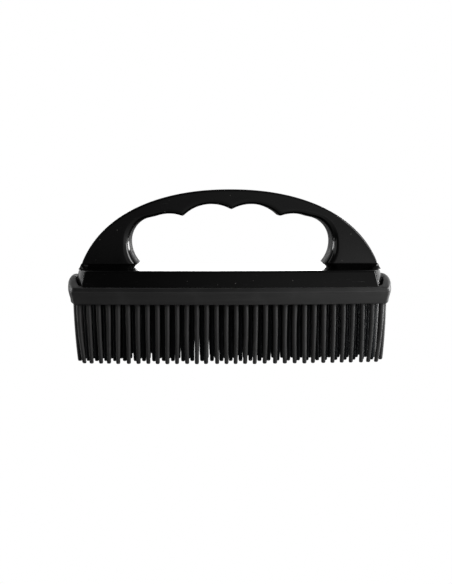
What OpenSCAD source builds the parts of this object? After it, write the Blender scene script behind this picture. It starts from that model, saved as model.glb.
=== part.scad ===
// Curry comb for horses: an arched hand grip on a shallow plastic base, with a
// stretched-on rubber pad that carries seven staggered rows of long bristles.
// X runs along the comb, Y across it (front is -Y) and Z up.
// The origin is under the middle of the comb, at the height of the bristle tips.

/* [Overall] */
// Height from the bristle tips to the top of the grip
total_h = 94.1; // [91:0.1:97]
// Half the length of the rubber pad, measured to the middle of its ends
pad_half_l = 90.2; // [88:0.1:92]
// Half the width of the rubber pad, measured to the middle of its long sides
pad_half_w = 29.3; // [28:0.1:34]

/* [Bristles] */
// Length of each rubber bristle below the pad
bristle_l = 32.5; // [30:0.5:35]
// Bristle diameter where it leaves the pad
bristle_root_d = 2.8; // [2.4:0.1:3.2]
// Bristle diameter at its rounded tip
bristle_tip_d = 2.3; // [1.8:0.1:2.4]
// Distance between neighbouring bristles in one row
bristle_pitch = 5.3; // [5:0.01:5.5]
// Number of rows, counted from the front to the back
row_count = 7; // [7:1:7]

/* [Pad] */
// Thickness of the rubber web under the base
web_t = 3; // [2:0.1:4]
// Height of the rubber rim above the underside of the web
rim_h = 9; // [8:0.1:9.5]
// Thickness of the rubber rim around the base
rim_t = 3.7; // [3:0.1:4.5]
// Thickness of the rim over the ends of the base
end_rim_t = 3.9; // [3.5:0.1:5]
// How far the rounded ear at each end rises above the rim
ear_rise = 5.4; // [3:0.1:6]

/* [Base] */
// Height of the flat deck above the underside of the pad
deck_z = 17.8; // [17.5:0.1:19]
// Wall thickness of the base
base_wall = 2.4; // [1.8:0.1:3]
// Thickness of the deck under the grip
deck_t = 2.5; // [2:0.1:3]
// Thickness of the support plate that closes the base from below
plate_t = 2; // [1.6:0.1:2.6]

/* [Grip] */
// Half length of the curve that the arch follows, which is widest below the deck
arch_half_l = 86.2; // [84:0.1:87]
// Depth of the grip, front to back, at its feet
foot_depth = 22; // [21:0.5:26]
// Depth of the grip, front to back, at its crown
crown_depth = 20; // [17:0.5:21]
// How far the feet are cut back under their edges
foot_chamfer = 1.8; // [1:0.1:2.2]
// Height of that cut above the deck
foot_chamfer_h = 3.2; // [1.5:0.1:3.5]

/* [Screws] */
// Diameter of the screw threads, in the grip and in the base
screw_d = 3; // [2.5:0.1:3.5]
// Head diameter of the grip screws
grip_head_d = 5.6; // [5:0.1:6]
// Length of the grip screws below their heads
grip_screw_l = 13.5; // [10:0.5:13.5]
// Head diameter of the plate screws
plate_head_d = 5.6; // [5:0.1:6]
// Length of the plate screws, heads included
plate_screw_l = 8; // [6:0.5:9]

/* [Hidden] */

// Levels, from the bristle tips upward
pad_z = bristle_l;
web_top_z = pad_z + web_t;
rim_top_z = pad_z + rim_h;
ear_top_z = rim_top_z + ear_rise;
deck_top_z = pad_z + deck_z;
deck_under_z = deck_top_z - deck_t;
plate_top_z = web_top_z + plate_t;

// Outlines seen from above: bowed long sides, bulging ends and small round corners
end_bulge = 4.6;
base_bulge = 5.6;
side_bow = 4.2;
corner_r = 2;
end_steps = 7;
corner_steps = 5;
side_steps = 12;
base_half_l = pad_half_l - end_rim_t;
base_half_w = pad_half_w - rim_t;
// The walls of the base lean inward by this much from the rim to the deck
base_lean = 1.9;
// The rim's foot is this much smaller than its top
rim_lean = 1.2;
ear_round = 2;
lean_per_mm = base_lean / (deck_top_z - rim_top_z);
deck_edge = 1.2;
bead_out = 0.8;
bead_h = 1.5;
plate_clear = 0.2;
skin = 0.01;

// The hand opening: a round end on each side, wider below its middle, and four finger scallops
end_z = deck_top_z + 15;
end_r = 13.7;
end_x = 42.4;
end_low_r = 17.6;
end_low_x = end_x + end_r - end_low_r;
finger_in_r = 21.8;
finger_in_x = 11;
finger_in_z = end_z - 1.1;
finger_out_r = 20.5;
finger_out_x = 34.3;
finger_out_z = end_z - 5;
foot_top_z = deck_top_z + foot_chamfer_h;
inner_foot_x = end_low_x + sqrt(end_low_r * end_low_r - pow(end_z - foot_top_z, 2));

// The arch's outside is an ellipse that is squarer than a true one, the more so at its crown
arch_power_x = 2.14;
arch_power_z = 2.74;
arch_centre_z = deck_top_z - 29.3;
arch_rise = total_h - arch_centre_z;
arch_low = asin(pow((foot_top_z - arch_centre_z) / arch_rise, arch_power_z / 2));
foot_reach = arch_half_l * pow(cos(arch_low), 2 / arch_power_x);

// Cored pockets in the feet, with two screw posts each
pocket_x = 66;
pocket_l = 15.6;
pocket_w = 16;
pocket_h = 12;
post_y = 4.6;
post_d = 6;

// Bosses and ribs under the deck
boss_d = 7;
boss_places = [[-42, -13], [-42, 13], [0, -13], [0, 13], [42, -13], [42, 13]];
rib_t = 1.6;
rib_h = 5;
rib_l = 34;
rib_places = [-76, -55, -21, 21, 55, 76];

// Each bristle row follows the pad's outline, and the outer rows are shorter
row_half_l = pad_half_l - 3.1;
row_half_w = pad_half_w - 4.4;
row_end_inset = 4.8;
// A cross recess in each screw head
recess_l = 3.4;
recess_w = 0.7;

$fn = 64;

// Radius of an arc that bulges by rise over a half chord
function arc_radius(half_chord, rise) = (half_chord * half_chord + rise * rise) / (2 * rise);

function arc_points(centre, r, from, to, steps) = [
    for (i = [0:steps])
        let (turn = from + (to - from) * i / steps)
        [centre[0] + r * cos(turn), centre[1] + r * sin(turn)]
];

// One quarter of the outline: an end arc, a corner arc tangent to both sides, and a side arc
function quarter(half_l, half_w, bulge) =
    let (end_r = arc_radius(half_w - side_bow, bulge),
         side_r = arc_radius(half_l - bulge, side_bow),
         end_centre = [half_l - end_r, 0],
         side_centre = [0, half_w - side_r],
         span = side_centre - end_centre,
         gap = norm(span),
         along = (pow(end_r - corner_r, 2) - pow(side_r - corner_r, 2) + gap * gap) / (2 * gap),
         off = sqrt(pow(end_r - corner_r, 2) - along * along),
         corner = end_centre + along * span / gap + off * [-span[1], span[0]] / gap,
         end_turn = atan2(corner[1] - end_centre[1], corner[0] - end_centre[0]),
         side_turn = atan2(corner[1] - side_centre[1], corner[0] - side_centre[0]))
    concat(arc_points(end_centre, end_r, 0, end_turn, end_steps),
           arc_points(corner, corner_r, end_turn + 5, side_turn - 5, corner_steps),
           arc_points(side_centre, side_r, side_turn, 90, side_steps));

// The whole outline, with the points on the axes named only once
function outline(half_l, half_w, bulge) =
    let (part = quarter(half_l, half_w, bulge),
         last = len(part) - 1)
    concat(part,
           [for (i = [last - 1:-1:0]) [-part[i][0], part[i][1]]],
           [for (i = [1:last]) [-part[i][0], -part[i][1]]],
           [for (i = [last - 1:-1:1]) [part[i][0], -part[i][1]]]);

// Half the length and width of the base's leaning wall at height z, and its ends' bulge
function base_at(z, inset = 0) =
    let (lean = lean_per_mm * (z - rim_top_z) + inset)
    [base_half_l - lean, base_half_w - lean, base_bulge];

function pad_at(inset) = [pad_half_l - inset, pad_half_w - inset, end_bulge];

module slab(plan, z, h) {
    translate([0, 0, z])
        linear_extrude(h)
            polygon(outline(plan[0], plan[1], plan[2]));
}

// A solid that leans evenly from one outline to another
module leaning_block(low, high, z_low, z_high) {
    hull() {
        slab(low, z_low, skin);
        slab(high, z_high - skin, skin);
    }
}

module at_places(places) {
    for (place = places)
        translate([place[0], place[1], 0])
            children();
}

module at_posts() {
    for (side = [-1, 1], row = [-1, 1])
        translate([side * pocket_x, row * post_y, 0])
            children();
}

// The base without its hollow, which is also the room that the rubber grips
module base_block() {
    leaning_block(base_at(web_top_z), base_at(deck_top_z - deck_edge), web_top_z, deck_top_z - deck_edge);
    leaning_block(base_at(deck_top_z - deck_edge), base_at(deck_top_z, deck_edge),
                  deck_top_z - deck_edge - skin, deck_top_z);
    slab(base_at(web_top_z, -bead_out), web_top_z + bead_h, bead_h);
}

module base_hollow() {
    leaning_block(base_at(web_top_z, base_wall), base_at(deck_under_z, base_wall),
                  web_top_z - skin, deck_under_z);
}

// At each end the wall rises behind the foot's cut and meets the arch's outer face
module end_shoulders() {
    intersection() {
        leaning_block(base_at(deck_top_z - deck_edge), [foot_reach, base_half_w, base_bulge],
                      deck_top_z - deck_edge, foot_top_z);
        for (side = [-1, 1])
            translate([side * foot_reach - 4, -foot_depth / 2, deck_top_z - deck_edge])
                cube([8, foot_depth, foot_top_z]);
    }
}

module base_shell() {
    color("#141414")
    difference() {
        union() {
            difference() {
                base_block();
                base_hollow();
            }
            difference() {
                end_shoulders();
                handle_solid();
            }
            at_places(boss_places)
                translate([0, 0, plate_top_z])
                    cylinder(h = deck_under_z - plate_top_z + skin, d = boss_d);
            for (x = rib_places)
                translate([x - rib_t / 2, -rib_l / 2, deck_under_z - rib_h])
                    cube([rib_t, rib_l, rib_h + skin]);
        }
        at_places(boss_places)
            translate([0, 0, plate_top_z - skin])
                cylinder(h = plate_screw_l, d = screw_d);
        at_posts()
            translate([0, 0, deck_under_z - 1])
                cylinder(h = deck_t + 2, d = screw_d);
    }
}

function arch_point(turn) = [
    sign(cos(turn)) * arch_half_l * pow(abs(cos(turn)), 2 / arch_power_x),
    arch_centre_z + arch_rise * pow(sin(turn), 2 / arch_power_z)
];

module arch_outline() {
    steps = 56;
    polygon(concat(
        [[foot_reach - foot_chamfer, deck_top_z]],
        [for (i = [0:steps]) arch_point(arch_low + (180 - 2 * arch_low) * i / steps)],
        [[foot_chamfer - foot_reach, deck_top_z]]
    ));
}

module hand_opening() {
    for (side = [-1, 1]) {
        translate([side * end_x, end_z])
            circle(end_r);
        translate([side * finger_in_x, finger_in_z])
            circle(finger_in_r);
        translate([side * finger_out_x, finger_out_z])
            circle(finger_out_r);
        intersection() {
            translate([side * end_low_x, end_z])
                circle(end_low_r);
            translate([-arch_half_l, foot_top_z])
                square([2 * arch_half_l, end_z - foot_top_z]);
        }
    }
    // Between the feet the opening reaches the deck, with the feet chamfered
    polygon([
        [-inner_foot_x - foot_chamfer, deck_top_z - 1], [-inner_foot_x - foot_chamfer, deck_top_z],
        [-inner_foot_x, foot_top_z], [-end_x, end_z], [end_x, end_z], [inner_foot_x, foot_top_z],
        [inner_foot_x + foot_chamfer, deck_top_z], [inner_foot_x + foot_chamfer, deck_top_z - 1]
    ]);
}

// The grip's side view: wider at the feet than at the crown, chamfered at the deck
module grip_side() {
    polygon([
        [-foot_depth / 2 + foot_chamfer, deck_top_z], [-foot_depth / 2, foot_top_z],
        [-crown_depth / 2, total_h], [crown_depth / 2, total_h],
        [foot_depth / 2, foot_top_z], [foot_depth / 2 - foot_chamfer, deck_top_z]
    ]);
}

module foot_pocket() {
    difference() {
        translate([pocket_x - pocket_l / 2, -pocket_w / 2, deck_top_z - skin])
            cube([pocket_l, pocket_w, pocket_h]);
        for (row = [-1, 1])
            translate([pocket_x, row * post_y, deck_top_z - 1])
                cylinder(h = pocket_h + 2, d = post_d);
    }
}

// The grip without the pockets and bores in its feet
module handle_solid() {
    intersection() {
        translate([0, foot_depth / 2, 0])
            rotate([90, 0, 0])
                linear_extrude(foot_depth)
                    difference() {
                        arch_outline();
                        hand_opening();
                    }
        translate([-arch_half_l, 0, 0])
            rotate([90, 0, 90])
                linear_extrude(2 * arch_half_l)
                    grip_side();
    }
}

module handle() {
    color("#121212")
    difference() {
        handle_solid();
        foot_pocket();
        mirror([1, 0, 0])
            foot_pocket();
        at_posts()
            translate([0, 0, deck_top_z - 1])
                cylinder(h = grip_screw_l - deck_t + 2, d = screw_d);
    }
}

// A cross recess, cut upward into a screw head whose face is at height z
module cross_recess(z, depth) {
    for (turn = [0, 90])
        rotate([0, 0, turn])
            translate([-recess_l / 2, -recess_w / 2, z - skin])
                cube([recess_l, recess_w, depth]);
}

// Pan-head screws that hold the grip's feet down on the deck
module handle_screws() {
    head_h = 2.2;
    color("#8d9096")
    at_posts()
        difference() {
            union() {
                translate([0, 0, deck_under_z - head_h])
                    cylinder(h = head_h, d = grip_head_d);
                translate([0, 0, deck_under_z - skin])
                    cylinder(h = grip_screw_l + skin, d = screw_d);
            }
            cross_recess(deck_under_z - head_h, 1.2);
        }
}

module support_plate() {
    color("#1d1d1d")
    difference() {
        slab(base_at(rim_top_z, base_wall + plate_clear), web_top_z, plate_t);
        at_places(boss_places)
            plate_screw_shape();
    }
}

// A countersunk screw, head downward and flush with the plate's underside
module plate_screw_shape() {
    translate([0, 0, web_top_z])
        cylinder(h = (plate_head_d - screw_d) / 2, d1 = plate_head_d, d2 = screw_d);
    translate([0, 0, web_top_z])
        cylinder(h = plate_screw_l, d = screw_d);
}

module plate_screws() {
    color("#8d9096")
    at_places(boss_places)
        difference() {
            plate_screw_shape();
            cross_recess(web_top_z, 1);
        }
}

// The rounded ear at each end rises over the rim and hugs the base
module ears() {
    crown_r = arc_radius(pad_half_w - side_bow - corner_r, ear_rise);
    intersection() {
        union() {
            leaning_block(pad_at(0), pad_at(ear_round / 2), rim_top_z - 1, ear_top_z - ear_round);
            leaning_block(pad_at(ear_round / 2), pad_at(ear_round * 1.5),
                          ear_top_z - ear_round - skin, ear_top_z);
        }
        translate([-pad_half_l - 1, 0, ear_top_z - crown_r])
            rotate([0, 90, 0])
                cylinder(h = 2 * pad_half_l + 2, r = crown_r, $fn = 128);
    }
}

module rubber_pad() {
    color("#2a2a2b")
    difference() {
        union() {
            leaning_block(pad_at(rim_lean), pad_at(0), pad_z, rim_top_z);
            ears();
        }
        base_block();
    }
}

// A tapered shaft with a rounded end, cut off flat where it touches the ground
module bristle() {
    tip_r = bristle_tip_d / 2;
    tip_z = 0.85 * tip_r;
    difference() {
        union() {
            translate([0, 0, tip_z])
                cylinder(h = bristle_l - tip_z, r1 = tip_r, r2 = bristle_root_d / 2, $fn = 24);
            translate([0, 0, tip_z])
                sphere(tip_r, $fn = 24);
        }
        translate([-tip_r, -tip_r, -tip_r])
            cube([2 * tip_r, 2 * tip_r, tip_r]);
    }
}

// Odd rows stand on the half pitch and even rows on the whole pitch
module bristle_row(row) {
    place = 2 * (row - 1) / (row_count - 1) - 1;
    shift = row % 2 == 1 ? bristle_pitch / 2 : 0;
    most = floor(row_half_l / bristle_pitch) + 1;
    color("#303032")
    for (i = [-most:most]) {
        x = i * bristle_pitch + shift;
        y = place * (row_half_w - side_bow * pow(x / row_half_l, 2));
        if (abs(x) < row_half_l - row_end_inset * place * place)
            translate([x, y, 0])
                bristle();
    }
}

handle();
base_shell();
handle_screws();
support_plate();
plate_screws();
rubber_pad();
bristle_row(1);  // bristle_row_1
bristle_row(2);  // bristle_row_2
bristle_row(3);  // bristle_row_3
bristle_row(4);  // bristle_row_4
bristle_row(5);  // bristle_row_5
bristle_row(6);  // bristle_row_6
bristle_row(7);  // bristle_row_7
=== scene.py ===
"""Looks for a rubber curry comb: a moulded grip screwed to a base, with a bristled rubber pad round it."""

import math
import random

import bpy
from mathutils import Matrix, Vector


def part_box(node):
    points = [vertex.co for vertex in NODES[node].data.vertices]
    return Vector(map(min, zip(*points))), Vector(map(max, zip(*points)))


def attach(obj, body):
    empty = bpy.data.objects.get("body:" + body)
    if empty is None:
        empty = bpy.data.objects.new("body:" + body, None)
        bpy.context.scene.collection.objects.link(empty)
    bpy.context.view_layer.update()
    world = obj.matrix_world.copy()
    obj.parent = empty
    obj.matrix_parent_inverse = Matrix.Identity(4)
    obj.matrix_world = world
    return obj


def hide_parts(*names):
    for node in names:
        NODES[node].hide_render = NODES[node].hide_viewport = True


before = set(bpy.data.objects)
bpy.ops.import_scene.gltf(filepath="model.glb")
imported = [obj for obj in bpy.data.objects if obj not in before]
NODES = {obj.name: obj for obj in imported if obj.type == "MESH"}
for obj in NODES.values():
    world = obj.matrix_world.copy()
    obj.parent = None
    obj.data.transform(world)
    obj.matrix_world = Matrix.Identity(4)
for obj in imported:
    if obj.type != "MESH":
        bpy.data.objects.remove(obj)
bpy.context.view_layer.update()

# Sizes are in millimetres and turn into metres when a mesh is made
MM = 0.001
ROWS = sorted(name for name in NODES if name.startswith("bristle_row_"))
random.seed(7)


def box_mm(node):
    low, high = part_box(node)
    return Vector(low) / MM, Vector(high) / MM


# ---------------------------------------------------------------- mesh helpers

def mesh_object(name, vertices, faces, sharp_deg=None):
    """A smooth-shaded object from vertices in millimetres."""
    mesh = bpy.data.meshes.new(name)
    mesh.from_pydata([[c * MM for c in v] for v in vertices], [], faces)
    mesh.validate()
    mesh.shade_smooth()
    if sharp_deg:
        mesh.set_sharp_from_angle(angle=math.radians(sharp_deg))
    obj = bpy.data.objects.new(name, mesh)
    bpy.context.scene.collection.objects.link(obj)
    return obj


def loft(rings):
    """Vertices and faces of a closed skin over rings of equal length, capped at both ends."""
    count = len(rings[0])
    vertices = [point for ring in rings for point in ring]
    faces = [tuple(range(count - 1, -1, -1))]
    for k in range(len(rings) - 1):
        low, high = k * count, (k + 1) * count
        for i in range(count):
            j = (i + 1) % count
            faces.append((low + i, low + j, high + j, high + i))
    last = (len(rings) - 1) * count
    faces.append(tuple(range(last, last + count)))
    return vertices, faces


def smoothstep(low, high, value):
    t = min(max((value - low) / (high - low), 0), 1)
    return t * t * (3 - 2 * t)


def mix(a, b, t):
    return a + (b - a) * t


def keep_faces_flat(obj):
    """Weights normals by face area, so that broad faces stay flat beside their rounded edges."""
    weighted = obj.modifiers.new("flat faces", "WEIGHTED_NORMAL")
    weighted.keep_sharp = True
    weighted.weight = 80


def finish_piece(obj, material, slot, *replaced):
    obj.data.materials.append(material)
    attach(obj, "root")
    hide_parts(*replaced)


# ---------------------------------------------------------------- plan outline

SIDE_BOW = 4.2
PAD_BULGE = 4.6
BASE_BULGE = 5.6
CORNER_R = 1.6
END_STEPS = 14
CORNER_STEPS = 8
SIDE_STEPS = 34


def arc(centre, radius, start, end, steps):
    turns = [math.radians(mix(start, end, i / steps)) for i in range(steps + 1)]
    return [Vector((centre[0] + radius * math.cos(t), centre[1] + radius * math.sin(t))) for t in turns]


def outline(half_l, half_w, bulge):
    """The plan of the base and the pad: bowed long sides, bulging ends and small round corners."""
    end_chord = half_w - SIDE_BOW
    side_chord = half_l - bulge
    end_r = (end_chord ** 2 + bulge ** 2) / (2 * bulge)
    side_r = (side_chord ** 2 + SIDE_BOW ** 2) / (2 * SIDE_BOW)
    end_centre = Vector((half_l - end_r, 0))
    side_centre = Vector((0, half_w - side_r))
    span = side_centre - end_centre
    gap = span.length
    along = ((end_r - CORNER_R) ** 2 - (side_r - CORNER_R) ** 2 + gap ** 2) / (2 * gap)
    off = math.sqrt((end_r - CORNER_R) ** 2 - along ** 2)
    corner = end_centre + span * along / gap + Vector((-span.y, span.x)) * off / gap
    end_turn = math.degrees(math.atan2(corner.y - end_centre.y, corner.x - end_centre.x))
    side_turn = math.degrees(math.atan2(corner.y - side_centre.y, corner.x - side_centre.x))
    quarter = (arc(end_centre, end_r, 0, end_turn, END_STEPS)
               + arc(corner, CORNER_R, end_turn + 4, side_turn - 4, CORNER_STEPS)
               + arc(side_centre, side_r, side_turn, 90, SIDE_STEPS))
    top_left = [Vector((-p.x, p.y)) for p in reversed(quarter[:-1])]
    half = quarter + top_left
    return half + [Vector((p.x, -p.y)) for p in reversed(half[1:-1])]


# ---------------------------------------------------------------- base

base_low, base_high = box_mm("base_shell")
pad_low, pad_high = box_mm("rubber_pad")
grip_low, grip_high = box_mm("handle")

PAD_Z = pad_low.z
PAD_HALF_L = pad_high.x
PAD_HALF_W = pad_high.y
EAR_TOP_Z = pad_high.z
RIM_H = 9
RIM_TOP_Z = PAD_Z + RIM_H
RIM_T = 3.7
END_RIM_T = 3.9
RIM_LEAN = 1.2
DECK_Z = grip_low.z
BASE_HALF_L = PAD_HALF_L - END_RIM_T
BASE_HALF_W = PAD_HALF_W - RIM_T
BASE_LEAN = 2.1
BASE_WALL = 2.4
DECK_T = 2.5
DECK_EDGE = 1.2
LIP_Z = DECK_Z + 3.2
FOOT_HALF_DEPTH = grip_high.y
GRIP_REACH = 81.7


def base_ring(z, inset=0, shoulder_x=None, shoulder_z=None):
    """The base's outline at height z. Beyond each foot the ring may rise to a shoulder."""
    lean = BASE_LEAN * (z - RIM_TOP_Z) / (DECK_Z - RIM_TOP_Z) + inset
    ring = []
    for p in outline(BASE_HALF_L - lean, BASE_HALF_W - lean, BASE_BULGE):
        x, y, height = p.x, p.y, z
        if shoulder_x and abs(x) > GRIP_REACH - 8:
            lift = 1 - smoothstep(FOOT_HALF_DEPTH - 0.4, FOOT_HALF_DEPTH + 1, abs(y))
            x = mix(x, math.copysign(shoulder_x, x), lift)
            height = mix(z, shoulder_z, lift)
        ring.append((x, y, height))
    return ring


def make_base():
    web_top = PAD_Z + 3.2
    under = DECK_Z - DECK_T
    lip = GRIP_REACH
    rings = [
        base_ring(under, 8 + BASE_WALL),
        base_ring(under, BASE_WALL + 1),
        base_ring(under - 1, BASE_WALL),
        base_ring(web_top, BASE_WALL),
        base_ring(web_top, 0.4),
        base_ring(web_top + 0.4),
        base_ring(RIM_TOP_Z),
        base_ring(RIM_TOP_Z + 4),
        base_ring(DECK_Z - DECK_EDGE),
    ]
    # A rounded deck edge, then the shoulders beyond the outer ends of the feet
    for turn in (22, 45, 68):
        a = math.radians(turn)
        rings.append(base_ring(DECK_Z - DECK_EDGE * (1 - math.sin(a)), DECK_EDGE * (1 - math.cos(a)) * 0.8))
    rings += [
        base_ring(DECK_Z, DECK_EDGE, lip + 1.9, DECK_Z),
        base_ring(DECK_Z, DECK_EDGE + 0.6, lip + 1.2, DECK_Z + 1.1),
        base_ring(DECK_Z, DECK_EDGE + 1.2, lip + 0.4, LIP_Z - 0.15),
        base_ring(DECK_Z, DECK_EDGE + 1.8, lip - 0.7, LIP_Z - 0.15),
        base_ring(DECK_Z, DECK_EDGE + 4.2, lip - 3, DECK_Z),
        base_ring(DECK_Z, DECK_EDGE + 8),
    ]
    base = mesh_object("base", *loft(rings), sharp_deg=50)
    keep_faces_flat(base)
    return base


# ---------------------------------------------------------------- rubber pad

def pad_ring(z, inset=0, end_z=None, end_inset=None):
    """The pad's outline at height z. Over each end the ring may rise towards another height and inset."""
    end_z = z if end_z is None else end_z
    end_inset = inset if end_inset is None else end_inset
    reach = PAD_HALF_W - SIDE_BOW - 0.5
    side = outline(PAD_HALF_L - inset, PAD_HALF_W - inset, PAD_BULGE)
    end = outline(PAD_HALF_L - end_inset, PAD_HALF_W - end_inset, PAD_BULGE)
    ring = []
    for p, q in zip(side, end):
        on_end = abs(p.x) > PAD_HALF_L - PAD_BULGE - END_RIM_T - 2
        share = max(0, 1 - (p.y / reach) ** 2) if on_end else 0
        ring.append((mix(p.x, q.x, share), mix(p.y, q.y, share), mix(z, end_z, share)))
    return ring


def mark_painted_shade_band(pad, low_z):
    """Gives the smooth band along the top of the long sides the second material, a darker copy of the pad
    rubber that paints shade onto the band.
    """
    for face in pad.data.polygons:
        on_side = abs(face.center.x) < (PAD_HALF_L - PAD_BULGE - 0.5) * MM and abs(face.normal.y) > 0.5
        if on_side and face.center.z > low_z:
            face.material_index = 1


def make_pad():
    foot_edge, top_edge, band, band_lean = 0.5, 0.4, 2.1, 0.5
    ear_h, ear_t, ear_start = EAR_TOP_Z - RIM_TOP_Z, END_RIM_T - 0.5, 0.4
    rings = [
        pad_ring(PAD_Z, RIM_LEAN + 8),
        pad_ring(PAD_Z, RIM_LEAN + 1.4),
        pad_ring(PAD_Z, RIM_LEAN + foot_edge),
    ]
    for turn in (-60, -30, 0):
        a = math.radians(turn)
        height = PAD_Z + foot_edge * (1 + math.sin(a))
        rings.append(pad_ring(height, RIM_LEAN + foot_edge * (1 - math.cos(a))))
    face_low, face_high = PAD_Z + foot_edge, RIM_TOP_Z - band
    for t in (0.2, 0.4, 0.6, 0.8, 0.95):
        height = mix(face_low, face_high, t)
        rings.append(pad_ring(height, RIM_LEAN * (1 - t), end_inset=RIM_LEAN * 1.3 * (1 - t) ** 1.4))
    rings.append(pad_ring(face_high, 0.03, RIM_TOP_Z - band * 0.5, 0))
    rings.append(pad_ring(face_high + 0.25, 0.14, RIM_TOP_Z, 0.02))
    for turn in (0, 18, 36, 54, 72, 90):
        a = math.radians(turn)
        height = RIM_TOP_Z - top_edge * (1 - math.sin(a))
        ear_height = RIM_TOP_Z + ear_start + (ear_h - ear_start) * math.sin(a)
        inset = band_lean + top_edge * (1 - math.cos(a))
        rings.append(pad_ring(height, inset, ear_height, ear_t * (1 - math.cos(a))))
    rings += [
        pad_ring(RIM_TOP_Z, RIM_T - 0.7, RIM_TOP_Z + ear_h - 0.15, END_RIM_T - 0.3),
        pad_ring(RIM_TOP_Z - 0.3, RIM_T - 0.3, RIM_TOP_Z + ear_h - 0.8, END_RIM_T + 0.2),
        pad_ring(RIM_TOP_Z - 1, RIM_T + 0.1, RIM_TOP_Z + ear_h - 1.6, END_RIM_T + 0.4),
        pad_ring(PAD_Z + 3, RIM_T + 1),
        pad_ring(PAD_Z + 3, RIM_T + 5),
    ]
    pad = mesh_object("pad", *loft(rings), sharp_deg=60)
    mark_painted_shade_band(pad, (RIM_TOP_Z - band + 0.2) * MM)
    keep_faces_flat(pad)
    return pad


# ---------------------------------------------------------------- grip

ARCH_POWER_X = 2.14
ARCH_POWER_Z = 2.74
ARCH_CENTRE_Z = DECK_Z - 29.3
ARCH_HALF_L = 86.2
CROWN_Z = grip_high.z
CROWN_HALF_DEPTH = 10
# How far the feet are cut back under their lips: at the hand opening, at the ends and at the sides
CUT_INNER = 3
CUT_OUTER = 1.3
CUT_SIDE = 1.6
END_Z = DECK_Z + 15
# The hand opening as circles (x, z, radius), above and below the middle of its round ends
LOW_X = 38.5
LOW_R = 17.6
OPENING_TOP = [(42.4, END_Z, 13.7), (11, END_Z - 1.1, 21.8), (34.3, END_Z - 5, 20.5)]
OPENING_LOW = [(LOW_X, END_Z, LOW_R)]
INNER_LIP_X = LOW_X + math.sqrt(LOW_R ** 2 - (END_Z - LIP_Z) ** 2)
# Radii of the inner edges at the feet, up the legs and over the crown
FOOT_FILLET = 5.5
LEG_FILLET = 3.6
CROWN_FILLET = 2.6
# Radii of the outer edges at the feet and above them
FOOT_EDGE_R = 0.7
ARCH_EDGE_R = 1.3
GRIP_STEPS = 260
# How far the hand opening sits to the right of the arch's middle
OPENING_SHIFT = 0.65
# Smoothing passes over the whole opening, passes in all at its round ends, and where those begin
CUSP_SOFTEN = 2
ROUND_END_SOFTEN = 12
ROUND_END_X = 36


def opening_radius(turn):
    """How far the hand opening reaches from its middle in a direction."""
    dx, dz = math.cos(turn), math.sin(turn)
    far = 0
    for x, z, r in (OPENING_TOP if dz > 0 else OPENING_LOW):
        for side in (-1, 1):
            cx, cz = side * x, z - END_Z
            along = cx * dx + cz * dz
            short = r * r - (cx * cx + cz * cz - along * along)
            if short > 0:
                far = max(far, along + math.sqrt(short))
    return far


def inner_edge():
    """Evenly spaced points on the hand opening, from the right foot over to the left foot."""
    start = math.atan2(LIP_Z - END_Z, INNER_LIP_X)
    fine = 6000
    dense = []
    for i in range(fine + 1):
        turn = mix(start, math.pi - start, i / fine)
        r = opening_radius(turn)
        dense.append(Vector((r * math.cos(turn), END_Z + r * math.sin(turn))))
    lengths = [0]
    for a, b in zip(dense, dense[1:]):
        lengths.append(lengths[-1] + (b - a).length)
    points, k = [], 0
    for i in range(GRIP_STEPS + 1):
        want = lengths[-1] * i / GRIP_STEPS
        while k < fine - 1 and lengths[k + 1] < want:
            k += 1
        t = (want - lengths[k]) / max(lengths[k + 1] - lengths[k], 1e-9)
        points.append(dense[k].lerp(dense[k + 1], t))
    for turn in range(ROUND_END_SOFTEN):
        softer = [(a + b * 2 + c) / 4 for a, b, c in zip(points, points[1:], points[2:])]
        if turn >= CUSP_SOFTEN:
            softer = [new if abs(new.x) > ROUND_END_X else old for new, old in zip(softer, points[1:])]
        points = [points[0]] + softer + [points[-1]]
    return [point + Vector((OPENING_SHIFT, 0)) for point in points]


def outer_point(s):
    """The point on the arch's outside that faces the inner point at share s of the way over."""
    rise = CROWN_Z - ARCH_CENTRE_Z
    low = math.asin(((LIP_Z - ARCH_CENTRE_Z) / rise) ** (ARCH_POWER_Z / 2))
    half = min(s, 1 - s) * 2
    spread = half + 0.42 * half * (1 - half)
    turn = mix(low, math.pi / 2, spread)
    x = ARCH_HALF_L * max(math.cos(turn), 0) ** (2 / ARCH_POWER_X)
    return Vector((x if s < 0.5 else -x, ARCH_CENTRE_Z + rise * math.sin(turn) ** (2 / ARCH_POWER_Z)))


def half_depth(z):
    return mix(FOOT_HALF_DEPTH, CROWN_HALF_DEPTH, (z - LIP_Z) / (CROWN_Z - LIP_Z))


def grip_ring(inner, outer, r_in, r_out, depth_cut=0.0, z=None):
    """A rounded rectangle between an inner and an outer point, with its own radius on each side."""
    across = outer - inner
    width = across.length
    across = across / width
    corner_steps_in, corner_steps_out, face_steps = 10, 5, 6
    low_y = half_depth(inner.y) - depth_cut
    high_y = half_depth(outer.y) - depth_cut
    profile = [(r_in * (1 - math.cos(math.radians(90 * i / corner_steps_in))),
                low_y - r_in * (1 - math.sin(math.radians(90 * i / corner_steps_in))))
               for i in range(corner_steps_in + 1)]
    flat_start, flat_end = r_in, width - r_out
    for i in range(1, face_steps):
        t = i / face_steps
        profile.append((mix(flat_start, flat_end, t), mix(low_y, high_y, t)))
    profile += [(width - r_out * (1 - math.sin(math.radians(90 * i / corner_steps_out))),
                 high_y - r_out * (1 - math.cos(math.radians(90 * i / corner_steps_out))))
                for i in range(corner_steps_out + 1)]
    half = [(u, -y) for u, y in profile]
    full = half + [(u, y) for u, y in reversed(profile)]
    ring = []
    for u, y in full:
        p = inner + across * u
        ring.append((p.x, y, p.y if z is None else z))
    return ring


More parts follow.
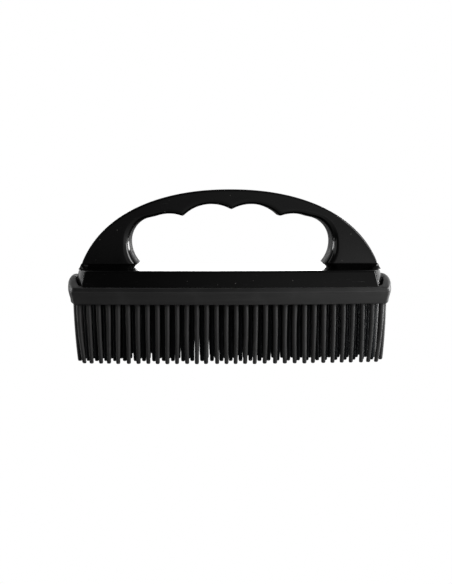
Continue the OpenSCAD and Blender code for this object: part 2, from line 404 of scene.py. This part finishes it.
def foot_ring(inner, outer, share, z):
    """A foot's outline at height z, where its undercut has gone this share of the way in."""
    away = math.copysign(share, outer.x)
    inner_end = inner + Vector((CUT_INNER * away, 0))
    outer_end = outer - Vector((CUT_OUTER * away, 0))
    return grip_ring(inner_end, outer_end, FOOT_FILLET, FOOT_EDGE_R, depth_cut=CUT_SIDE * share, z=z)


def mark_inside(grip):
    """Gives the faces that look into the hand opening the second material."""
    middle = Vector((0, 0, END_Z)) * MM
    for face in grip.data.polygons:
        inward = (middle - face.center).normalized()
        square_on = abs(face.normal.y) < 0.25
        if square_on and face.normal.dot(inward) > 0.3:
            face.material_index = 1


def make_grip():
    inner = inner_edge()
    rings = []
    for i, p in enumerate(inner):
        s = i / GRIP_STEPS
        near = min(s, 1 - s)
        r_in = mix(FOOT_FILLET, LEG_FILLET, smoothstep(0.0, 0.09, near))
        r_in = mix(r_in, CROWN_FILLET, smoothstep(0.16, 0.3, near))
        r_out = mix(FOOT_EDGE_R, ARCH_EDGE_R, smoothstep(0.0, 0.08, near))
        rings.append(grip_ring(p, outer_point(s), r_in, r_out))
    undercut = [(0.06, LIP_Z - 0.25), (0.2, LIP_Z - 0.5), (1, DECK_Z), (1, DECK_Z - 0.3)]
    right = [foot_ring(inner[0], outer_point(0), share, z) for share, z in undercut]
    left = [foot_ring(inner[-1], outer_point(1), share, z) for share, z in undercut]
    rings = list(reversed(right)) + rings + left
    grip = mesh_object("grip", *loft(rings), sharp_deg=50)
    mark_inside(grip)
    keep_faces_flat(grip)
    return grip


# ---------------------------------------------------------------- bristles

BRISTLE_SIDES = 18
TIP_R = 1.15
ROOT_R = 1.4
FLARE = 0.45
TIP_ROUND_H = 0.9
# Inward lean of the tips in millimetres: all along a row, at its ends, and more in the outer rows
EVEN_LEAN = 0.1
END_PULL = 1
OUTER_ROW_PULL = 1.5
END_PULL_POWER = 10
# Spread of the random lean along and across a row, of the bow and of the thickness
LEAN_X_SPREAD = 0.26
LEAN_Y_SPREAD = 0.25
BOW_SPREAD = 0.12
SIZE_SPREAD = 0.02


def bristle_centres(node):
    """The middle of each bristle of a CAD row, found from its vertices by the gaps between them."""
    spots = sorted((v.co.x / MM, v.co.y / MM) for v in NODES[node].data.vertices)
    groups = [[spots[0]]]
    for spot in spots[1:]:
        if spot[0] - groups[-1][-1][0] > 0.5:
            groups.append([])
        groups[-1].append(spot)
    centres = []
    for group in groups:
        xs = [p[0] for p in group]
        ys = [p[1] for p in group]
        centres.append(((min(xs) + max(xs)) / 2, (min(ys) + max(ys)) / 2))
    return centres


def bristle_profile():
    """Height and radius from the root's fillet down to the blunt tip."""
    profile = []
    for i in range(5):
        t = i / 4
        profile.append((PAD_Z + 0.25 - 1.6 * t, ROOT_R + FLARE * (1 - t) ** 2.2))
    for i in range(1, 9):
        t = i / 8
        profile.append((mix(PAD_Z - 1.35, TIP_ROUND_H, t), mix(ROOT_R, TIP_R, t)))
    for turn in (25, 50, 72, 90):
        a = math.radians(turn)
        profile.append((TIP_ROUND_H * (1 - math.sin(a)), TIP_R - 0.55 * (1 - math.cos(a))))
    return profile


def make_row(node):
    vertices, faces = [], []
    profile = bristle_profile()
    centres = bristle_centres(node)
    end_x = max(abs(x) for x, _ in centres)
    end_y = box_mm("bristle_row_1")[1].y - ROOT_R
    for x, y in centres:
        # Bristles lean inward, and most at the ends of the outer rows
        out = x / end_x
        pull = END_PULL + OUTER_ROW_PULL * (y / end_y) ** 2
        end_lean = pull * math.copysign(abs(out) ** END_PULL_POWER, out)
        lean_x = -EVEN_LEAN * out - end_lean + random.gauss(0, LEAN_X_SPREAD)
        lean_y = random.gauss(0, LEAN_Y_SPREAD)
        bow = random.gauss(0, BOW_SPREAD)
        size = 1 + random.gauss(0, SIZE_SPREAD)
        first = len(vertices)
        for z, r in profile:
            t = 1 - z / PAD_Z
            dx = lean_x * t * t + bow * math.sin(math.pi * t)
            dy = lean_y * t * t
            for i in range(BRISTLE_SIDES):
                a = 2 * math.pi * i / BRISTLE_SIDES
                vertices.append((x + dx + r * size * math.cos(a), y + dy + r * size * math.sin(a), z))
        count = BRISTLE_SIDES
        for k in range(len(profile) - 1):
            for i in range(count):
                j = (i + 1) % count
                a, b = first + k * count, first + (k + 1) * count
                faces.append((a + j, a + i, b + i, b + j))
        top = first
        end = first + (len(profile) - 1) * count
        faces.append(tuple(range(top, top + count)))
        faces.append(tuple(range(end + count - 1, end - 1, -1)))
    return mesh_object("bristles_" + node[-1], vertices, faces, sharp_deg=60)


# ---------------------------------------------------------------- materials

# Width in millimetres of the change from the painted shade on the inner bristles to the unshaded outer
# rubber
SHADE_BLEND = 2.5
PLASTIC_IOR = 1.5
RUBBER_IOR = 1.5


def set_range(node, *numbers):
    """Sets the range that a Map Range node reads and the range that it gives."""
    for socket, number in zip(("From Min", "From Max", "To Min", "To Max"), numbers):
        node.inputs[socket].default_value = number


class Shader:
    """A Principled material and short ways to add the nodes that feed it."""

    def __init__(self, name, **values):
        self.material = bpy.data.materials.new(name)
        self.material.use_nodes = True
        self.tree = self.material.node_tree
        self.surface = self.tree.nodes["Principled BSDF"]
        for socket, value in values.items():
            self.surface.inputs[socket.replace("_", " ")].default_value = value
        self.place = self.tree.nodes.new("ShaderNodeTexCoord").outputs["Object"]

    def node(self, kind, **settings):
        made = self.tree.nodes.new(kind)
        for key, value in settings.items():
            setattr(made, key, value)
        return made

    def link(self, source, target):
        self.tree.links.new(source, target)

    def stretched(self, scale, turn=(0, 0, 0)):
        mapping = self.node("ShaderNodeMapping")
        mapping.inputs["Scale"].default_value = scale
        mapping.inputs["Rotation"].default_value = turn
        self.link(self.place, mapping.inputs["Vector"])
        return mapping.outputs["Vector"]

    def noise(self, scale, detail=4, roughness=0.55, place=None):
        noise = self.node("ShaderNodeTexNoise")
        noise.inputs["Scale"].default_value = scale
        noise.inputs["Detail"].default_value = detail
        noise.inputs["Roughness"].default_value = roughness
        self.link(place or self.place, noise.inputs["Vector"])
        return noise.outputs["Fac"]

    def ranged(self, value, low, high, out_low=0.0, out_high=1.0):
        made = self.node("ShaderNodeMapRange", interpolation_type="SMOOTHSTEP")
        set_range(made, low, high, out_low, out_high)
        self.link(value, made.inputs["Value"])
        return made.outputs["Result"]

    def specks(self, scale, size, amount):
        """Scattered dots: cells whose own random value is high, cut to a small disc."""
        cells = self.node("ShaderNodeTexVoronoi", feature="F1")
        cells.inputs["Scale"].default_value = scale
        self.link(self.place, cells.inputs["Vector"])
        split = self.node("ShaderNodeSeparateColor")
        self.link(cells.outputs["Color"], split.inputs["Color"])
        chosen = self.ranged(split.outputs["Red"], 1 - amount, 1 - amount + 0.01)
        disc = self.ranged(cells.outputs["Distance"], size, size * 0.5)
        return self.times(chosen, disc)

    def outside(self, reach):
        """One beyond a distance in x or in y from the middle of the object, and zero within it: the mask of
        the painted shade inside the bristles.
        """
        split = self.node("ShaderNodeSeparateXYZ")
        self.link(self.place, split.inputs["Vector"])
        parts = []
        for axis, far in zip("XY", reach):
            size = self.node("ShaderNodeMath", operation="ABSOLUTE")
            self.link(split.outputs[axis], size.inputs[0])
            parts.append(self.ranged(size.outputs["Value"], (far - SHADE_BLEND) * MM, far * MM))
        most = self.node("ShaderNodeMath", operation="MAXIMUM")
        for part, socket in zip(parts, most.inputs):
            self.link(part, socket)
        return most.outputs["Value"]

    def times(self, a, b):
        made = self.node("ShaderNodeMath", operation="MULTIPLY")
        for value, socket in ((a, made.inputs[0]), (b, made.inputs[1])):
            if isinstance(value, (int, float)):
                socket.default_value = value
            else:
                self.link(value, socket)
        return made.outputs["Value"]

    def plus(self, a, b):
        made = self.node("ShaderNodeMath", operation="ADD")
        self.link(a, made.inputs[0])
        self.link(b, made.inputs[1])
        return made.outputs["Value"]

    def blend(self, amount, low, high):
        made = self.node("ShaderNodeMix", data_type="RGBA")
        for value, socket in ((low, made.inputs["A"]), (high, made.inputs["B"])):
            if isinstance(value, tuple):
                socket.default_value = value
            else:
                self.link(value, socket)
        self.link(amount, made.inputs["Factor"])
        return made.outputs["Result"]

    def bump(self, height, depth_mm, under=None, strength=1.0):
        made = self.node("ShaderNodeBump")
        made.inputs["Distance"].default_value = depth_mm * MM
        made.inputs["Strength"].default_value = strength
        self.link(height, made.inputs["Height"])
        if under:
            self.link(under, made.inputs["Normal"])
        return made.outputs["Normal"]

    def feed(self, socket, value):
        self.link(value, self.surface.inputs[socket])


def grey(level, warmth=0.0):
    return (level * (1 + warmth), level, level * (1 - warmth), 1)


def black_plastic(name, level, polish):
    """Glossy injection-moulded plastic with flow mottle, hairline scuffs and dust."""
    shader = Shader(name, IOR=PLASTIC_IOR)
    mottle = shader.noise(60, 5)
    fine = shader.noise(900, 3)
    scuffs = shader.noise(1, 3, 0.6, shader.stretched((90, 700, 1600), (0.3, 0.5, 0.2)))
    scuff = shader.ranged(scuffs, 0.62, 0.72)
    dust = shader.plus(shader.specks(420, 0.16, 0.06), shader.specks(170, 0.1, 0.1))
    tone = shader.blend(mottle, grey(level * 0.75), grey(level * 1.25))
    tone = shader.blend(shader.times(scuff, 0.35), tone, grey(level * 4))
    tone = shader.blend(shader.times(dust, 0.7), tone, grey(0.16, 0.05))
    shader.feed("Base Color", tone)
    rough = shader.ranged(mottle, 0.3, 0.7, polish * 0.85, polish * 1.25)
    rough = shader.plus(rough, shader.times(shader.plus(scuff, dust), 0.18))
    shader.feed("Roughness", rough)
    ripple = shader.bump(mottle, 0.06, strength=0.25)
    shader.feed("Normal", shader.bump(fine, 0.012, ripple, 0.3))
    return shader.material


def rubber(name, level, streak_scale, painted_shade_reach=None):
    """Matt moulded rubber: fine grain, faint mould lines, smudges of dust.

    Where the reach of painted shade is given, shade is painted into the colour: the rubber is darker and
    reflects less wherever it is nearer to the middle than that in both x and y, in millimetres, standing
    in for the shadow between the bristles.
    """
    shader = Shader(name, IOR=RUBBER_IOR, Sheen_Weight=0.04, Sheen_Roughness=0.5)
    shader.surface.inputs["Sheen Tint"].default_value = grey(0.6)
    grain = shader.noise(2600, 4, 0.65)
    cloud = shader.noise(75, 5, 0.6)
    streaks = shader.noise(1, 3, 0.5, shader.stretched(streak_scale))
    dust = shader.specks(330, 0.15, 0.06)
    smudge = shader.ranged(cloud, 0.48, 0.75)
    tone = shader.blend(streaks, grey(level * 0.6), grey(level * 1.3))
    tone = shader.blend(shader.times(smudge, 0.3), tone, grey(level * 1.9))
    tone = shader.blend(shader.times(dust, 0.6), tone, grey(0.2, 0.05))
    # Painted shade: within the reach the colour is darkened and the specular weakened, standing in for the
    # shadow between the bristles
    if painted_shade_reach:
        outer = shader.outside(painted_shade_reach)
        tone = shader.blend(outer, grey(level * 0.22, -0.2), tone)
        shader.feed("Specular IOR Level", shader.ranged(outer, 0, 1, 0.16, 0.5))
    shader.feed("Base Color", tone)
    shader.feed("Roughness", shader.ranged(cloud, 0.3, 0.7, 0.42, 0.56))
    relief = shader.bump(streaks, 0.05, strength=0.35)
    shader.feed("Normal", shader.bump(grain, 0.02, relief, 0.5))
    return shader.material


def screw_steel():
    """Zinc-plated steel, lightly brushed and spotted."""
    shader = Shader("screw_steel", Metallic=1.0)
    cloud = shader.noise(500, 5)
    brushed = shader.noise(1, 2, 0.5, shader.stretched((4000, 4000, 300)))
    shader.feed("Base Color", shader.blend(cloud, grey(0.34, 0.04), grey(0.55, 0.01)))
    shader.feed("Roughness", shader.ranged(brushed, 0.3, 0.7, 0.28, 0.45))
    shader.feed("Normal", shader.bump(brushed, 0.01, strength=0.3))
    return shader.material


# ---------------------------------------------------------------- pieces

grip_plastic = black_plastic("grip_plastic", 0.004, 0.12)
grip_inside = black_plastic("grip_inside", 0.006, 0.6)
base_plastic = black_plastic("base_plastic", 0.0035, 0.13)
inner_plastic = black_plastic("inner_plastic", 0.012, 0.4)
pad_rubber = rubber("pad_rubber", 0.044, (25, 25, 900))
# A darker copy of the pad rubber: painted shade along the top band of the rim
painted_shade_band_rubber = rubber("painted_shade_band_rubber", 0.017, (25, 25, 900))
# Painted shade on the inner bristles: darker rubber within 82 by 20.5 mm of the middle
bristle_rubber = rubber("bristle_rubber", 0.04, (700, 700, 60), painted_shade_reach=(82, 20.5))
steel = screw_steel()

grip = make_grip()
finish_piece(grip, grip_plastic, "grip_plastic", "handle")
grip.data.materials.append(grip_inside)
finish_piece(make_base(), base_plastic, "base_plastic", "base_shell")
pad = make_pad()
finish_piece(pad, pad_rubber, "pad_rubber", "rubber_pad")
pad.data.materials.append(painted_shade_band_rubber)
for row in ROWS:
    finish_piece(make_row(row), bristle_rubber, "bristle_rubber", row)

for name, material in (("handle_screws", steel), ("plate_screws", steel), ("support_plate", inner_plastic)):
    if not NODES[name].material_slots:
        NODES[name].data.materials.append(material)
    for place in NODES[name].material_slots:
        place.material = material


# ---------------------------------------------------------------- stage, lights and camera

FLOOR_HALF = 3000
FLOOR_GREY = 0.12
SHEEN_LEFT = 0.03
SHEEN_RIGHT = 0.68
ROOM_LEFT = 0.04
ROOM_RIGHT = 0.38
CEILING = 0.25
BACKDROP = 0.8
BACKDROP_FALLOFF = 2.0
# Where the floor's sheen changes, in metres from the middle, and the room's light, by direction
SHEEN_SPAN = (-0.2, 0.45)
ROOM_SPAN = (-0.3, 0.4)
CEILING_SPAN = (0.12, 0.6)
# Name, place, aim, width and height of each light in metres, and its power in watts
LIGHTS = [
    ("right_box", (0.42, -0.25, 0.22), (0.02, 0, 0.04), 0.16, 0.4, 1.5),
    ("left_box", (-0.5, -0.12, 0.25), (0, 0, 0.05), 0.12, 0.4, 0.12),
    ("back_card", (0, 1.2, 0.14), (0, 0, 0.1), 0.8, 0.12, 1.1),
    ("right_side", (0.7, 0.15, 0.06), (0, 0, 0.04), 0.5, 0.2, 7),
    ("left_front", (-0.6, -0.45, 0.08), (0.05, 0, 0.06), 0.4, 0.3, 0.25),
    ("left_side", (-0.7, 0.15, 0.06), (0, 0, 0.04), 0.5, 0.2, 2.6),
]


def make_floor():
    """A white floor for the camera, dim as a light, and brighter to the right in reflections."""
    far = FLOOR_HALF
    corners = [(-far, -far, 0), (far, -far, 0), (far, far, 0), (-far, far, 0)]
    floor = mesh_object("floor", corners, [(0, 1, 2, 3)])
    material = bpy.data.materials.new("floor_paint")
    material.use_nodes = True
    tree = material.node_tree
    matt = tree.nodes["Principled BSDF"]
    matt.inputs["Base Color"].default_value = grey(FLOOR_GREY)
    matt.inputs["Roughness"].default_value = 0.8
    place = tree.nodes.new("ShaderNodeTexCoord")
    split = tree.nodes.new("ShaderNodeSeparateXYZ")
    across = tree.nodes.new("ShaderNodeMapRange")
    across.interpolation_type = "SMOOTHSTEP"
    tree.links.new(place.outputs["Object"], split.inputs["Vector"])
    tree.links.new(split.outputs["X"], across.inputs["Value"])
    set_range(across, *SHEEN_SPAN, SHEEN_LEFT, SHEEN_RIGHT)
    sheen = tree.nodes.new("ShaderNodeEmission")
    tree.links.new(across.outputs["Result"], sheen.inputs["Strength"])
    glow = tree.nodes.new("ShaderNodeEmission")
    path = tree.nodes.new("ShaderNodeLightPath")
    mirrored = tree.nodes.new("ShaderNodeMixShader")
    tree.links.new(path.outputs["Is Glossy Ray"], mirrored.inputs["Fac"])
    tree.links.new(matt.outputs["BSDF"], mirrored.inputs[1])
    tree.links.new(sheen.outputs["Emission"], mirrored.inputs[2])
    choose = tree.nodes.new("ShaderNodeMixShader")
    tree.links.new(path.outputs["Is Camera Ray"], choose.inputs["Fac"])
    tree.links.new(mirrored.outputs["Shader"], choose.inputs[1])
    tree.links.new(glow.outputs["Emission"], choose.inputs[2])
    tree.links.new(choose.outputs["Shader"], tree.nodes["Material Output"].inputs["Surface"])
    floor.data.materials.append(material)


def soft_box(name, place, aim, width, height, power):
    data = bpy.data.lights.new(name, "AREA")
    data.shape = "RECTANGLE"
    data.size = width
    data.size_y = height
    data.energy = power
    light = bpy.data.objects.new(name, data)
    light.location = place
    light.rotation_euler = (Vector(aim) - Vector(place)).to_track_quat("-Z", "Y").to_euler()
    light.visible_camera = False
    bpy.context.scene.collection.objects.link(light)


def make_world():
    """A dim room, lighter to the right and dark overhead, with a bright white backdrop behind."""
    world = bpy.data.worlds.new("studio")
    bpy.context.scene.world = world
    world.use_nodes = True
    tree = world.node_tree
    background = tree.nodes["Background"]
    place = tree.nodes.new("ShaderNodeTexCoord")
    split = tree.nodes.new("ShaderNodeSeparateXYZ")
    room = tree.nodes.new("ShaderNodeMapRange")
    ceiling = tree.nodes.new("ShaderNodeMapRange")
    dimmed = tree.nodes.new("ShaderNodeMath")
    front = tree.nodes.new("ShaderNodeMath")
    lobe = tree.nodes.new("ShaderNodeMath")
    total = tree.nodes.new("ShaderNodeMath")
    path = tree.nodes.new("ShaderNodeLightPath")
    choose = tree.nodes.new("ShaderNodeMix")
    tree.links.new(place.outputs["Generated"], split.inputs["Vector"])
    tree.links.new(split.outputs["X"], room.inputs["Value"])
    room.interpolation_type = "SMOOTHSTEP"
    set_range(room, *ROOM_SPAN, ROOM_LEFT, ROOM_RIGHT)
    tree.links.new(split.outputs["Z"], ceiling.inputs["Value"])
    set_range(ceiling, *CEILING_SPAN, 1, CEILING)
    dimmed.operation = "MULTIPLY"
    tree.links.new(room.outputs["Result"], dimmed.inputs[0])
    tree.links.new(ceiling.outputs["Result"], dimmed.inputs[1])
    front.operation = "MAXIMUM"
    tree.links.new(split.outputs["Y"], front.inputs[0])
    front.inputs[1].default_value = 0
    lobe.operation = "POWER"
    tree.links.new(front.outputs["Value"], lobe.inputs[0])
    lobe.inputs[1].default_value = BACKDROP_FALLOFF
    total.operation = "MULTIPLY_ADD"
    tree.links.new(lobe.outputs["Value"], total.inputs[0])
    total.inputs[1].default_value = BACKDROP
    tree.links.new(dimmed.outputs["Value"], total.inputs[2])
    tree.links.new(path.outputs["Is Camera Ray"], choose.inputs["Factor"])
    tree.links.new(total.outputs["Value"], choose.inputs["A"])
    choose.inputs["B"].default_value = 1.0
    tree.links.new(choose.outputs["Result"], background.inputs["Strength"])
    background.inputs["Color"].default_value = (1, 1, 1, 1)


# Camera place and aim in millimetres, angles in degrees
CAMERA_X = -15
CAMERA_AWAY = 479.3
CAMERA_Z = 91
# Focal length and picture height in one unit, and the sensor's long side in millimetres
FOCAL_PX = 852
IMAGE_H = 584
SENSOR = 36
PITCH_DOWN_DEG = 6.5
AIM_X = -2.1


def make_camera():
    data = bpy.data.cameras.new("camera")
    data.lens = FOCAL_PX * SENSOR / IMAGE_H
    data.sensor_width = SENSOR
    data.sensor_fit = "AUTO"
    data.clip_start = 0.05
    camera = bpy.data.objects.new("camera", data)
    camera.location = (CAMERA_X * MM, -CAMERA_AWAY * MM, CAMERA_Z * MM)
    yaw = math.atan2(CAMERA_X - AIM_X, CAMERA_AWAY)
    camera.rotation_euler = (math.radians(90 - PITCH_DOWN_DEG), 0, yaw)
    bpy.context.scene.collection.objects.link(camera)
    bpy.context.scene.camera = camera


make_floor()
make_world()
for light in LIGHTS:
    soft_box(*light)
make_camera()
bpy.context.scene.view_settings.view_transform = "Standard"
